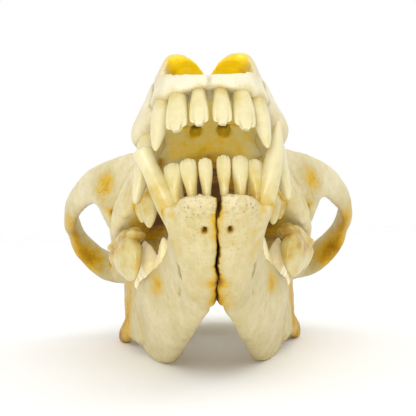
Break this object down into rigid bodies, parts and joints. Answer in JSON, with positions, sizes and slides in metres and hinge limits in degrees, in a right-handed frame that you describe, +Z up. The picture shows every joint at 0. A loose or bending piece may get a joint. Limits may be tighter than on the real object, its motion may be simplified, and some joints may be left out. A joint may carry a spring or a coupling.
{
  "type": "wolf skull",
  "caption": "Adult wolf skull with its lower jaw in place and slightly open, dry ivory bone with full tooth rows, resting on its jaw with the muzzle raised.",
  "frame": {"origin": "on the table, under the middle of the skull's box", "axes": "+Z up, muzzle towards -Y, +X to the animal's left"},
  "size_m": [0.1436, 0.2722, 0.1215],
  "materials": {
    "bone": "satin"
  },
  "bodies": {
    "root": {"muzzle": "bone", "braincase": "bone", "cheekbone_left": "bone", "cheekbone_right": "bone", "jaw_left": "bone", "jaw_right": "bone"}
  },
  "joints": []
}
